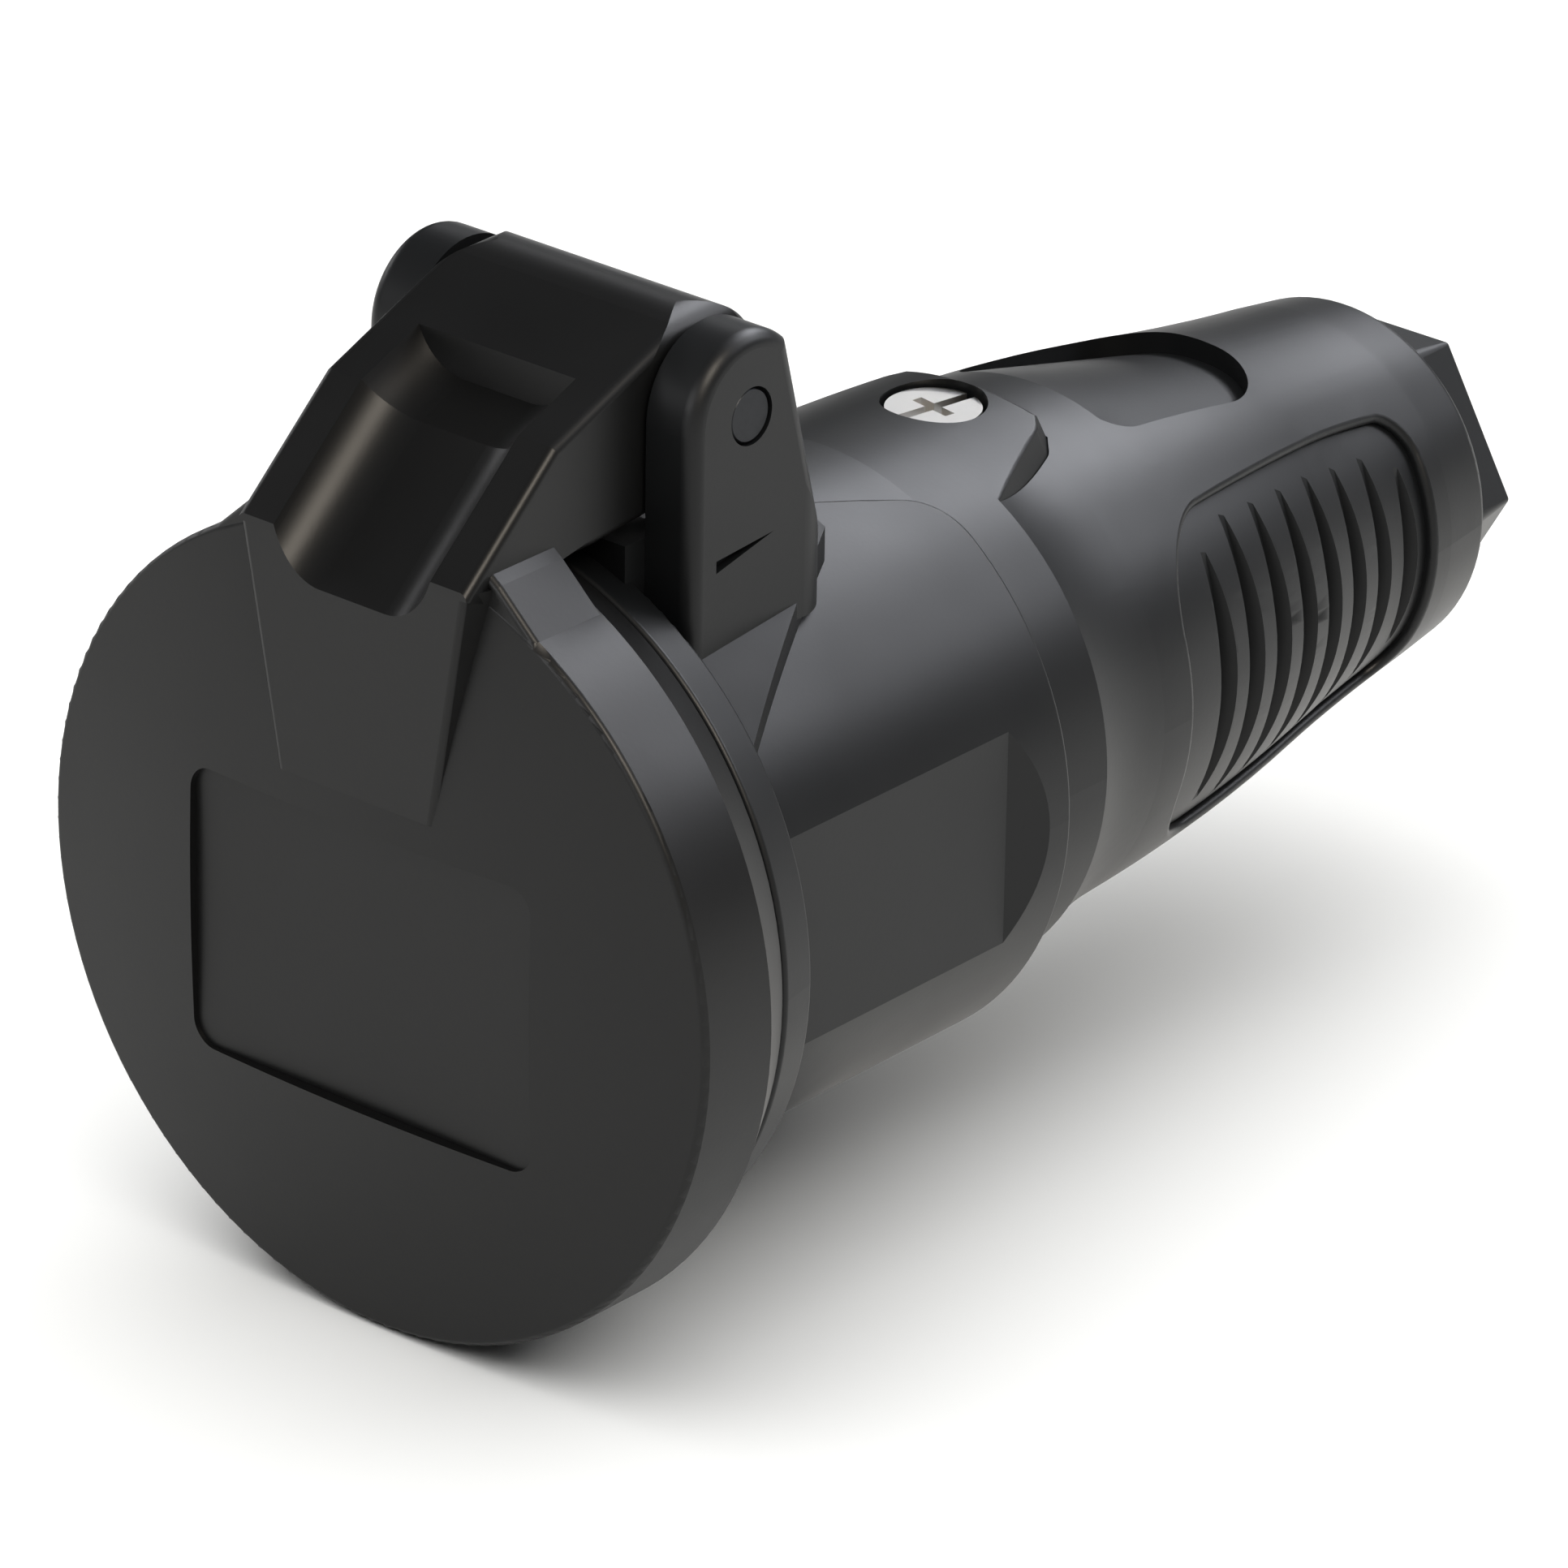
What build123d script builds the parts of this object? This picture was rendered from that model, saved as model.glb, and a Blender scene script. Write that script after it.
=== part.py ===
from build123d import *
from math import asin, atan2, cos, degrees, hypot, radians, sin, sqrt, tan
import os

# Portable socket with a self-closing lid, a screwed-on handle and a cable gland.
# Millimetres. The coupler's axis is Y: the plug enters along +Y and the cable leaves at +Y.
# The origin is the centre of the socket's mouth. The lid hinge is on top, at +Z.

os.makedirs("parts", exist_ok=True)

# Clearances
seat_gap = 0.08           # between pieces that are fixed to each other
run_gap = 0.06            # radial, shafts that turn in a bore
move_gap = 0.3            # between faces that swing past each other
over = 1.0                # how far a cutting tool runs past the face it leaves

# Plug recess and pins, which everything else is sized from
recess_r = 19.6
recess_depth = 17.3
pin_r_plug = 2.4
pin_spacing = 19.0
key_half = 2.5
key_h = 2.0
pin_hole_play = 0.6

# Socket insert
insert_wall = 1.9
insert_floor_t = 3.2
chamber_len = 12.5
tower_half = 4.6
earth_slot_half = 3.4
insert_outer_r = recess_r + insert_wall
skirt_t = 1.5
floor_rear_y = recess_depth + insert_floor_t
insert_end_y = floor_rear_y + chamber_len
pin_x = pin_spacing / 2

# Insert cover and its screws
cover_slot = 0.7
cover_slot_depth = 0.9
cover_t = 2.2
cover_screw_x = 9.5
cover_screw_z = 12.0
cover_screw_r = 1.45
cover_head_r = 2.7
cover_head_h = 1.8
cover_screw_len = 10.0
cover_post_r = 3.4
cover_face_y = insert_end_y + seat_gap + cover_t
stop_y = cover_face_y + seat_gap

# Front housing: a thick tube, and behind it a thinner neck that the handle joins
body_wall = 2.9
neck_sink = 2.48          # of the neck under the tube
tube_overlap = 1.64       # of the tube behind the insert's stop
spigot_ledge = 1.38
spigot_depth = 8.84
rim_round = 0.35
flat_depth = 1.5          # side flats
flat_ramp_len = 5.7
flat_ramp_deg = 25.0
flat_half_height = 12.0
housing_bore_r = insert_outer_r + seat_gap
body_r = housing_bore_r + body_wall
spigot_bore_r = housing_bore_r - spigot_ledge
parting_y = stop_y + spigot_depth
parting_r = body_r - neck_sink
crease_y = stop_y + tube_overlap
flat_x = body_r - flat_depth
flat_end_y = crease_y - flat_ramp_len

# Bare strip on top of the tube, from the hinge to the screw pad
strip_front_half = 5.6
strip_rear_half = 11.4
strip_corner_r = 4.7
strip_front_sink = 1.2
strip_rear_sink = 1.95

# Screw pad of the housing, which laps over the handle
pad_t = 5.2
pad_lift = 0.05           # how far its crown lies below the neck's radius
pad_root_half = 10.8
pad_root_play = 1.0
pad_tip_half = 7.3
pad_shoulder_len = 8.2
pad_len = 10.8
pad_draft_deg = 22.0
pad_edge_drop = 2.0       # below the crown, where its outline is measured
pad_corner_r = 2.0
pad_edge_round = 0.4
pad_crown_r = parting_r - pad_lift
pad_bed_r = pad_crown_r - pad_t
pad_shoulder_y = parting_y + pad_shoulder_len
pad_tip_y = parting_y + pad_len
pad_edge_z = pad_crown_r - pad_edge_drop

# Housing screw and its nut
screw_setback = 5.9
screw_sink = 0.65
screw_head_r = 3.65
screw_head_h = 2.1
screw_shank_r = 1.95
screw_shank_len = 10.2
screw_slot = 0.9
screw_slot_depth = 1.2
screw_slot_turn = 10.0
screw_cross_half = 1.9
counterbore_play = 0.4
nut_side = 7.0
nut_h = 3.2
nut_reach = 1.2
screw_y = parting_y + screw_setback
screw_head_top = pad_crown_r - screw_sink
screw_seat_z = screw_head_top - screw_head_h
screw_tip_z = screw_seat_z - screw_shank_len
nut_low_z = screw_tip_z + nut_reach
nut_top_z = nut_low_z + nut_h

# Lid frame: ring, tongue, bridge and ears
ring_front_w = 4.22
ring_rear_w = 3.52
ring_len = 3.7
ring_edge_round = 0.4
lip_w = 0.6
lip_t = 0.85
tongue_front_t = 0.92
tongue_rear_t = 2.5
tongue_front_half = 20.8
tongue_front_y = 5.2
tongue_rear_half = 12.2
tongue_rear_y = 23.2
bridge_front_y = 2.7
bridge_step_y = 7.35
bridge_rear_y = 17.5
bridge_rise = 4.3
bridge_shelf_rise = 1.9
hinge_y = 11.0
hinge_rise = 12.87
ear_out_x = 15.5
ear_in_x = 11.1
ear_head_r = 6.2
ear_foot_rear_y = 21.0
ear_foot_sink = 4.5
ear_corner_r = 4.0
ear_edge_round = 1.2
ear_mark_len = 6.2
ear_mark_h = 0.95
ear_mark_lean = 0.4
ear_mark_depth = 0.7
ear_mark_y = 7.4
ear_mark_rise = 2.92
ring_front_r = body_r + ring_front_w
ring_rear_r = body_r + ring_rear_w
lip_r = recess_r + lip_w
insert_front_y = lip_t + seat_gap
bridge_top_z = body_r + bridge_rise
bridge_shelf_z = body_r + bridge_shelf_rise
hinge_z = body_r + hinge_rise
ear_foot_z = body_r - ear_foot_sink
ear_mark_z = body_r + ear_mark_rise

# Hinge pin and spring
pin_r = 2.15
pin_recess = 0.15
pin_chamfer = 0.25
wire_r = 0.5
coil_r = 3.1
coil_half = 4.5
coil_turns = 4.75
spring_foot_len = 9.95
spring_lid_tip_y = 3.0

# Lid
lid_overhang = 2.4
lid_gap = 0.3
lid_bevel_y = -4.3
lid_rim_y = -11.3
lid_dome = 2.2
lid_edge_round = 0.55
lid_floor_t = 4.3
lid_hollow_wall = 9.6
gasket_bed_y = -4.5
gasket_bed_wall = 3.5
pocket_half = 16.2
pocket_top_z = 9.0
pocket_low_z = -13.3
pocket_sink = 1.3
pocket_corner_r = 2.0
wedge_top_half = 10.5
wedge_low_half = 7.0
wedge_low_rise = 1.6      # above the pocket
wedge_foot_spread = 0.9
wedge_root_play = 1.0
wedge_top_rise = 3.0
wedge_low_sink = 0.3
wedge_toe_play = 0.25
wedge_edge_round = 0.5
neck_low_half = 15.1
neck_top_half = 11.6
neck_top_drop = 0.7
neck_depth = 6.8
neck_crest = 0.6
lid_r = ring_front_r + lid_overhang
lid_crown_y = lid_rim_y - lid_dome
lid_hollow_r = lid_r - lid_hollow_wall
gasket_bed_r = lid_r - gasket_bed_wall
wedge_low_z = pocket_top_z + wedge_low_rise
wedge_root_y = lid_rim_y + wedge_root_play
neck_low_z = sqrt(lid_r**2 - neck_low_half**2)
neck_top_z = lid_r - neck_top_drop

# Lid arm, seen from the side, and its thumb scoop
arm_half = 10.8
arm_toe_drop = 0.8
arm_toe_play = 0.6
arm_bend_y = -4.4
arm_bend_rise = 1.05      # above the hinge
arm_under_drop = 7.75     # below the hinge
arm_edge_round = 0.7
barrel_r = 6.7
barrel_corner_r = 2.4
scoop_half = 7.7
scoop_depth = 2.85
scoop_end_y = 1.6
scoop_corner_r = 4.6
scoop_height = 12.0
scoop_overrun = 20.0
window_half = 5.5
window_front_y = 7.0
window_r = 4.3
arm_toe_z = lid_r - arm_toe_drop
arm_bend_z = hinge_z + arm_bend_rise
arm_under_z = hinge_z - arm_under_drop

# Lid gasket
gasket_rim_w = 0.7
gasket_lip_inset = 3.3
gasket_lip_w = 0.9
gasket_web = 1.6
gasket_in_r = lid_hollow_r + gasket_rim_w
gasket_lip_r = ring_front_r - gasket_lip_inset

# Line contacts
sleeve_wall = 0.8
sleeve_len = 10.4
sleeve_split = 0.9
sleeve_root = 3.4
contact_flange_r = 4.1
contact_flange_t = 1.9
chamber_gap = 0.4
tail_half = 2.0
tail_t = 0.8
tail_overrun = 0.84
sleeve_r = pin_r_plug
sleeve_out_r = sleeve_r + sleeve_wall

# Earth strip
earth_half = 3.0
earth_t = 0.8
earth_leg_inset = 1.1
earth_touch_inset = 2.7
earth_tip_inset = 0.6
earth_relief_len = 3.8
earth_spring_len = 4.9
earth_tip_len = 5.0
earth_block_z = -9.0
earth_leg_z = recess_r - earth_leg_inset
earth_touch_z = recess_r - earth_touch_inset
earth_tip_z = recess_r - earth_tip_inset
earth_relief_y = recess_depth - earth_relief_len
earth_touch_y = earth_relief_y - earth_spring_len
earth_tip_y = earth_touch_y - earth_tip_len

# Terminal blocks and their screws
block_wall = 1.6
block_len = 7.6
block_window_h = 5.6
block_roof = 2.4
terminal_screw_r = 1.5
terminal_head_r = 2.3
terminal_head_h = 1.6
terminal_head_lift = 0.5
terminal_reach = 3.0
terminal_slot = 0.7
terminal_slot_depth = 0.8
block_front_y = cover_face_y + seat_gap
block_half_x = tail_half + seat_gap + block_wall
tail_end_y = block_front_y + block_len + tail_overrun

# Rear handle
handle_step = 0.05        # below the housing's neck at the joint
handle_wall = 3.6
waist_len = 8.8
waist_drop = 1.62
waist_slope = -0.045
swell_len = 26.7
swell_drop = 3.05
neck_len = 15.3
neck_drop = 2.25
tip_len = 5.4
tip_drop = 0.75
tip_round = 0.9
spigot_wall = 2.2
spigot_play = 0.3         # in front of the spigot, over the cover screws
boss_half = 12.0
boss_rear_wall = 2.6
boss_floor = 0.6
handle_root_r = parting_r - handle_step
waist_y = parting_y + waist_len
waist_r = handle_root_r - waist_drop
swell_y = waist_y + swell_len
swell_r = waist_r - swell_drop
neck_end_y = swell_y + neck_len
neck_end_r = swell_r - neck_drop
handle_end_y = neck_end_y + tip_len
handle_end_r = neck_end_r - tip_drop
spigot_r = spigot_bore_r - seat_gap
spigot_front_y = cover_face_y + cover_head_h + spigot_play
boss_rear_y = pad_tip_y + boss_rear_wall
boss_low_z = nut_low_z - boss_floor

# Shallow recess on top of the handle
name_half = 8.2
name_setback = 17.0
name_len = 20.6
name_front_depth = -0.05
name_rear_depth = 1.8
name_front_corner = 3.0
name_rear_corner = 6.5
name_front_y = parting_y + name_setback
name_rear_y = name_front_y + name_len

# Grip panels on the sides of the handle
grip_setback = 12.8
grip_len = 35.5
grip_front_half = 12.8
grip_middle_half = 12.3
grip_rear_half = 10.0
grip_front_corner = 7.0
grip_rear_corner = 3.4
grip_inner_x = 6.0
grip_sink = 0.9
grip_rim_round = 0.5
skin_depth = 0.05
groove_count = 8
groove_setback = 5.8
groove_pitch = 3.93
groove_w = 2.3
groove_floor_share = 0.25
groove_depth = 1.45
groove_clear = 3.0
groove_margin = 1.0
groove_tip_play = 0.3
groove_first_trim = 1.7
groove_last_trim = 1.6
grip_front_y = parting_y + grip_setback
grip_rear_y = grip_front_y + grip_len
groove_first_y = grip_front_y + groove_setback

# Body seal
seal_t = 1.0
seal_w = 1.1
seal_play = 0.05
seal_out_r = spigot_bore_r + seal_w

# Cable gland
gland_wall = 2.7
gland_floor_setback = 0.8
gland_floor_t = 2.4
nut_bore_r = 6.3
throat_play = 1.9
cage_len = 8.4
cage_wall = 1.8
cage_ring = 2.4
cage_fingers = 8
cage_split = 1.1
seal_bore_inset = 1.3
seal_sleeve_len = 9.4
seal_sleeve_chamfer = 1.2
washer_play = 0.12
washer_t = 1.0
washer_hole_play = 0.5
shank_play = 0.2
hex_inset = 2.95          # flats below the handle's end radius, at the end face
hex_root_inset = 2.3
hex_h = 4.6
hex_round = 1.0
hex_edge_round = 0.4
gland_face_gap = 0.12
rim_pocket_wall = 1.6
rim_pocket_depth = 1.4
gland_bore_r = handle_end_r - gland_wall
gland_floor_y = swell_y + gland_floor_setback
gland_throat_r = nut_bore_r + throat_play
cage_front_y = gland_floor_y + seat_gap
cage_r = gland_bore_r - seat_gap
seal_bore_r = nut_bore_r - seal_bore_inset
seal_outer_r = cage_r - cage_wall - seat_gap
washer_front_y = cage_front_y + seal_sleeve_len + washer_play
shank_front_y = washer_front_y + washer_t + shank_play
shank_r = gland_bore_r - run_gap
nut_face_y = handle_end_y + gland_face_gap


def outline(*points):
    """Face with straight sides."""
    return make_face(Polyline(*points, close=True))


def mirrored(*points):
    """Outline symmetric about the second axis, from its right-hand points."""
    return outline(*points, *[(-x, y) for x, y in reversed(points)])


def soft_corner(face, corners, radius):
    """The face with its corners nearest to the given points rounded."""
    picked = [min(face.vertices(), key=lambda v: hypot(v.X - x, v.Y - y)) for x, y in corners]
    return fillet(picked, radius)


def turned(*points, soft=(), radius=0.0):
    """Solid of revolution about Y from a closed (radius, y) outline."""
    face = outline(*points)
    if soft:
        face = soft_corner(face, soft, radius)
    return revolve(face, Axis.Y)


def ring(r_out, r_in, y_from, y_to):
    """Plain ring about Y."""
    return turned((r_in, y_from), (r_out, y_from), (r_out, y_to), (r_in, y_to))


def rod_y(radius, y_from, y_to, x=0.0, z=0.0):
    """Round rod along Y."""
    start = Plane(origin=(x, y_from, z), x_dir=(1, 0, 0), z_dir=(0, 1, 0))
    return extrude(start * Circle(radius), y_to - y_from)


def rod_z(radius, z_from, z_to, x=0.0, y=0.0):
    """Round rod along Z."""
    return extrude(Pos(x, y, z_from) * Circle(radius), z_to - z_from)


def rod_x(radius, x_from, x_to, y, z):
    """Round rod along X."""
    start = Plane(origin=(x_from, y, z), x_dir=(0, 1, 0), z_dir=(1, 0, 0))
    return extrude(start * Circle(radius), x_to - x_from)


def box(x0, x1, y0, y1, z0, z1):
    """Block between two corners."""
    middle = Pos((x0 + x1) / 2, (y0 + y1) / 2, (z0 + z1) / 2)
    return middle * Box(x1 - x0, y1 - y0, z1 - z0)


def side_plate(face, x_from, x_to):
    """Plate with its outline drawn in (y, z), between two values of x."""
    start = Plane(origin=(x_from, 0, 0), x_dir=(0, 1, 0), z_dir=(1, 0, 0))
    return extrude(start * face, x_to - x_from)


def front_plate(face, y_front, y_rear, draft=0.0):
    """Plate with its outline drawn in (x, z), between two values of y. A draft narrows its front."""
    start = Plane(origin=(0, y_rear, 0), x_dir=(1, 0, 0), z_dir=(0, -1, 0))
    return extrude(start * face, y_rear - y_front, taper=draft)


def top_plate(face, z_from, z_to, draft=0.0):
    """Plate with its outline drawn in (x, y), between two values of z. A draft narrows its top."""
    return extrude(Pos(0, 0, z_from) * face, z_to - z_from, taper=draft)


def both_sides(solid):
    """The solid and its mirror image across the plane x = 0."""
    return solid + mirror(solid, Plane.YZ)


def edges_where(solid, test):
    """The edges whose middle point passes the test."""
    return [edge for edge in solid.edges() if test(edge @ 0.5)]


def handle_surface(inset):
    """The handle's outer form, a set distance under its surface."""
    root = (handle_root_r - inset, parting_y)
    waist = (waist_r - inset, waist_y)
    swell = (swell_r - inset, swell_y)
    tail = (neck_end_r - inset, neck_end_y)
    end = (handle_end_r - inset, handle_end_y)
    flare = TangentArc(waist, root, tangent=(-waist_slope, -1))
    shoulder = TangentArc(waist, swell, tangent=(waist_slope, 1))
    neck = TangentArc(swell, tail, tangent=shoulder % 1)
    face = make_face([
        flare,
        shoulder,
        neck,
        Line(tail, end),
        Polyline(end, (0, handle_end_y), (0, parting_y), root),
    ])
    return revolve(soft_corner(face, [end], tip_round), Axis.Y)


def pad_outline(gap):
    """Plan of the screw pad, from inside the housing to its tip."""
    face = mirrored(
        (pad_root_half + gap, stop_y + pad_root_play),
        (pad_root_half + gap, parting_y),
        (pad_tip_half + gap, pad_shoulder_y + gap),
        (pad_tip_half - pad_corner_r + gap, pad_tip_y + gap),
    )
    tips = [(side * (pad_tip_half + gap), pad_shoulder_y + gap) for side in (1, -1)]
    return soft_corner(face, tips, pad_corner_r + gap)


def pad_block(gap):
    """The pad with its drafted walls, before its upper and lower sides are cut round."""
    low_z = pad_edge_z - pad_t
    spread = pad_t * tan(radians(pad_draft_deg))
    return top_plate(pad_outline(gap + spread), low_z, body_r, pad_draft_deg)


def tangent_touch(point, centre, radius):
    """Where a line from the point touches the upper side of a circle."""
    dy = centre[0] - point[0]
    dz = centre[1] - point[1]
    reach = hypot(dy, dz)
    angle = atan2(dz, dy) + asin(radius / reach)
    run = sqrt(reach**2 - radius**2)
    return (point[0] + run * cos(angle), point[1] + run * sin(angle))


def top_strip():
    """Tool for the bare strip on top of the tube."""
    plan = mirrored(
        (strip_front_half, tongue_rear_y),
        (strip_rear_half, crease_y),
        (strip_rear_half + 2 * strip_corner_r, crease_y),
        (strip_rear_half + 2 * strip_corner_r, crease_y + over),
    )
    plan = soft_corner(plan, [(strip_rear_half, crease_y), (-strip_rear_half, crease_y)], strip_corner_r)
    floor = turned(
        (0, tongue_rear_y - over),
        (body_r - strip_front_sink, tongue_rear_y - over),
        (body_r - strip_front_sink, tongue_rear_y),
        (body_r - strip_rear_sink, crease_y),
        (body_r - strip_rear_sink, crease_y + 2 * over),
        (0, crease_y + 2 * over),
    )
    return top_plate(plan, 0, body_r + over) - floor


def front_housing():
    """Moulded tube with flats, the bare strip on top, the neck and the screw pad."""
    mouth_y = lip_t + seat_gap
    shell = turned(
        (housing_bore_r, mouth_y),
        (body_r, mouth_y),
        (body_r, crease_y),
        (parting_r, crease_y),
        (parting_r, parting_y),
        (seal_out_r, parting_y),
        (seal_out_r, parting_y - seal_t),
        (spigot_bore_r, parting_y - seal_t),
        (spigot_bore_r, stop_y),
        (housing_bore_r, stop_y),
    )
    shell -= top_strip()
    on_rim = edges_where(shell, lambda p: (
        abs(hypot(p.X, p.Z) - body_r) < 0.02 and p.Y > tongue_rear_y + over
        and (p.Y < crease_y - 0.01 or abs(p.Y - crease_y) < 0.01)
    ))
    shell = fillet(on_rim, rim_round)
    pad = pad_block(0) & ring(pad_crown_r, pad_bed_r, stop_y + pad_root_play, pad_tip_y + over)
    pad_rim = edges_where(pad, lambda p: (
        abs(hypot(p.X, p.Z) - pad_crown_r) < 0.02 and p.Y > stop_y + pad_root_play + over
    ))
    pad = fillet(pad_rim, pad_edge_round)
    inside = rod_y(spigot_bore_r, stop_y, parting_y + seat_gap)
    inside += rod_y(seal_out_r, parting_y - seal_t, parting_y + seat_gap)
    shell += pad - inside
    ramp_rise = (crease_y - flat_end_y) * tan(radians(flat_ramp_deg))
    flat = outline(
        (flat_x, ring_len),
        (flat_x, flat_end_y),
        (flat_x + ramp_rise, crease_y),
        (flat_x + ramp_rise, ring_len),
    )
    shell -= both_sides(top_plate(flat, -flat_half_height, flat_half_height))
    shell -= rod_z(screw_head_r + counterbore_play, screw_seat_z, body_r, y=screw_y)
    shell -= rod_z(screw_shank_r + seat_gap, 0, body_r, y=screw_y)
    return shell


def ear():
    """Right-hand hinge ear."""
    reach = hypot(ear_foot_rear_y - hinge_y, hinge_z - ear_foot_z)
    lean = atan2(ear_foot_rear_y - hinge_y, hinge_z - ear_foot_z)
    turn = lean + asin(ear_head_r / reach)
    touch = (hinge_y + ear_head_r * cos(turn), hinge_z + ear_head_r * sin(turn))
    front_y = hinge_y - ear_head_r
    side = make_face([
        Line((ear_foot_rear_y, ear_foot_z), touch),
        ThreePointArc(touch, (hinge_y, hinge_z + ear_head_r), (front_y, hinge_z)),
        Polyline((front_y, hinge_z), (front_y, ear_foot_z), (ear_foot_rear_y, ear_foot_z)),
    ])
    block = side_plate(side, ear_in_x, ear_out_x)
    outer_face = block.faces().sort_by(Axis.X)[-1]
    rim = [e for e in outer_face.edges() if e.center().Z > ear_foot_z + over]
    block = fillet(rim, ear_edge_round)
    plan = outline(
        (ear_in_x, front_y),
        (ear_out_x, front_y),
        (ear_out_x, ear_foot_rear_y),
        (ear_in_x, ear_foot_rear_y),
    )
    plan = soft_corner(plan, [(ear_out_x, ear_foot_rear_y)], ear_corner_r)
    block &= top_plate(plan, ear_foot_z, hinge_z + ear_head_r)
    mark = outline(
        (ear_mark_y, ear_mark_z - ear_mark_h),
        (ear_mark_y, ear_mark_z),
        (ear_mark_y + ear_mark_len, ear_mark_z + ear_mark_h * ear_mark_lean),
    )
    block -= side_plate(mark, ear_out_x - ear_mark_depth, ear_out_x)
    return block


def lid_frame():
    """Ring on the mouth of the housing, with the tongue and ears of the hinge."""
    bed_r = body_r + seat_gap
    body = turned(
        (lip_r, 0),
        (ring_front_r, 0),
        (ring_rear_r, ring_len),
        (bed_r, ring_len),
        (bed_r, lip_t),
        (lip_r, lip_t),
        soft=[(ring_front_r, 0), (ring_rear_r, ring_len)],
        radius=ring_edge_round,
    )
    tongue_plan = mirrored(
        (tongue_front_half, lip_t),
        (tongue_front_half, tongue_front_y),
        (tongue_rear_half, tongue_rear_y),
    )
    tongue = top_plate(tongue_plan, 0, ring_front_r)
    tongue &= turned(
        (0, lip_t),
        (body_r + tongue_front_t, lip_t),
        (body_r + tongue_front_t, ring_len),
        (body_r + tongue_rear_t, tongue_rear_y + over),
        (0, tongue_rear_y + over),
    )
    hook = box(-ear_in_x, ear_in_x, bridge_front_y, bridge_step_y, 0, bridge_top_z)
    shelf = box(-ear_in_x, ear_in_x, bridge_front_y, bridge_rear_y, 0, bridge_shelf_z)
    hinge = both_sides(ear())
    upper = tongue + hook + shelf + hinge
    upper -= rod_y(bed_r, -over, tongue_rear_y + 5 * over)
    body += upper
    body -= rod_x(pin_r + seat_gap / 2, -ear_out_x - over, ear_out_x + over, hinge_y, hinge_z)
    return body


def arm_points():
    """Toe, bend and touching point of the arm's upper side, in (y, z)."""
    toe = (lid_crown_y, arm_toe_z)
    bend = (arm_bend_y, arm_bend_z)
    touch = tangent_touch(bend, (hinge_y, hinge_z), barrel_r)
    return toe, bend, touch


def scoop_channel(start, end):
    """Endless round-bottomed channel along one slope of the arm."""
    length = hypot(end[0] - start[0], end[1] - start[1])
    along = ((end[0] - start[0]) / length, (end[1] - start[1]) / length)
    out = (-along[1], along[0])
    base_y = start[0] - out[0] * scoop_depth - along[0] * scoop_overrun
    base_z = start[1] - out[1] * scoop_depth - along[1] * scoop_overrun
    section = outline(
        (-scoop_half, 0),
        (scoop_half, 0),
        (scoop_half, scoop_height),
        (-scoop_half, scoop_height),
    )
    section = soft_corner(section, [(-scoop_half, 0), (scoop_half, 0)], scoop_corner_r)
    plane = Plane(origin=(0, base_y, base_z), x_dir=(-1, 0, 0), z_dir=(0, along[0], along[1]))
    return extrude(plane * section, length + 2 * scoop_overrun)


def thumb_scoop():
    """Tool that cuts the scoop into the arm's upper side."""
    toe, bend, touch = arm_points()
    channel = scoop_channel(toe, bend) + scoop_channel(bend, touch)
    return channel & box(
        -arm_half,
        arm_half,
        lid_crown_y - scoop_overrun,
        scoop_end_y,
        0,
        hinge_z + scoop_overrun,
    )


def lid_wedge():
    """Raised wedge under the arm, with drafted and rounded sides, that fades into the dome."""
    rise = wedge_root_y - lid_crown_y
    draft = atan2(wedge_foot_spread, rise)
    foot = wedge_foot_spread
    crest_z = arm_toe_z - wedge_toe_play
    lean = (wedge_top_half - wedge_low_half) / (crest_z - wedge_low_z)
    plan = mirrored(
        (wedge_low_half + foot, wedge_low_z),
        (wedge_top_half + foot + lean * wedge_top_rise, crest_z + wedge_top_rise),
    )
    block = front_plate(plan, lid_crown_y, wedge_root_y, degrees(draft))
    side = outline(
        (wedge_root_y, wedge_low_z),
        (lid_crown_y + wedge_low_sink, wedge_low_z),
        (lid_crown_y, crest_z),
        (wedge_root_y, crest_z),
    )
    block &= side_plate(side, -arm_half - 5 * over, arm_half + 5 * over)
    sides = edges_where(block, lambda p: (
        abs(p.X) > wedge_low_half - 0.5 and p.Y < lid_crown_y + wedge_low_sink
        and p.Z > wedge_low_z + 0.5 and p.Z < crest_z - 0.01
    ))
    return fillet(sides, wedge_edge_round)


def lid_arm():
    """Arm and hinge barrel, with rounded upper edges."""
    toe, bend, touch = arm_points()
    low = (hinge_y, hinge_z - barrel_r)
    rear = (hinge_y + barrel_r, hinge_z)
    side = make_face([
        Line(toe, bend),
        Line(bend, touch),
        ThreePointArc(touch, rear, low),
        Polyline(
            low,
            (-lid_gap, arm_under_z),
            (lid_rim_y + neck_depth, arm_under_z),
            (wedge_root_y, arm_under_z - over),
            (lid_crown_y, arm_toe_z - arm_toe_play),
            toe,
        ),
    ])
    arm = side_plate(side, -arm_half, arm_half)
    upper = edges_where(arm, lambda p: (
        abs(abs(p.X) - arm_half) < 0.01 and p.Z > arm_toe_z + 0.1
        and (p.Y > lid_crown_y + 0.01)
        and (p.Z > hinge_z or p.Y > hinge_y or p.Z > arm_under_z + 1.5 * over)
        and not (p.Z < hinge_z - barrel_r + 0.5)
    ))
    arm = fillet(upper, arm_edge_round)
    front = mirrored((arm_half, 0), (arm_half, hinge_z + barrel_r))
    top = [(arm_half, hinge_z + barrel_r), (-arm_half, hinge_z + barrel_r)]
    return arm & front_plate(soft_corner(front, top, barrel_corner_r), lid_crown_y - over, hinge_y + 2 * barrel_r)


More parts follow.
